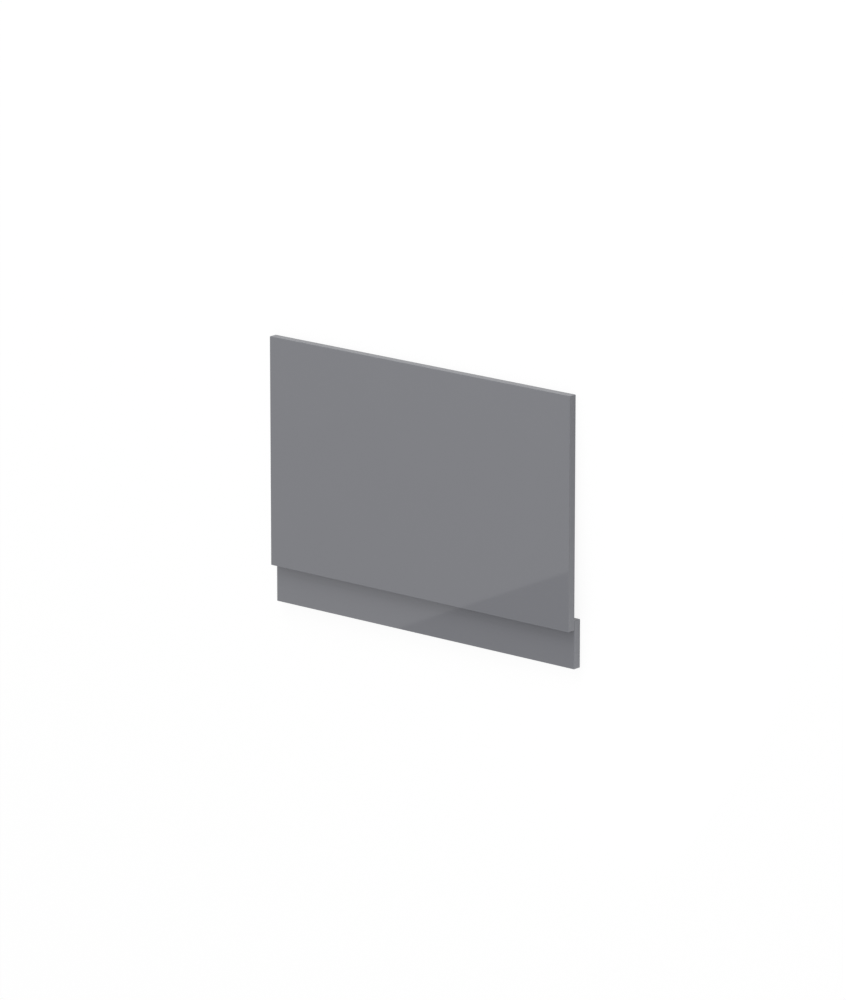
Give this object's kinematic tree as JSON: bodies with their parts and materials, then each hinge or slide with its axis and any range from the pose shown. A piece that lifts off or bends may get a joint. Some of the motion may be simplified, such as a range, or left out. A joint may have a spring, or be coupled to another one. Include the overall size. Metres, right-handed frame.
{
  "type": "bath panel",
  "caption": "Flat gloss grey bath panel with a recessed plinth board lapped behind its lower edge, closing the end of a bath between rim and floor.",
  "frame": {"origin": "centre of the panel's outline, on the plane of the plinth's back face", "axes": "+X along the panel's width, left to right as seen from the front; +Y from the plinth's floor edge to the top edge; +Z out of the front face"},
  "size_m": [0.78, 0.56, 0.036],
  "materials": {
    "grey_lacquer": "gloss",
    "zinc_steel": "satin"
  },
  "bodies": {
    "root": {"front_panel": "grey_lacquer", "plinth": "grey_lacquer"}
  },
  "joints": []
}
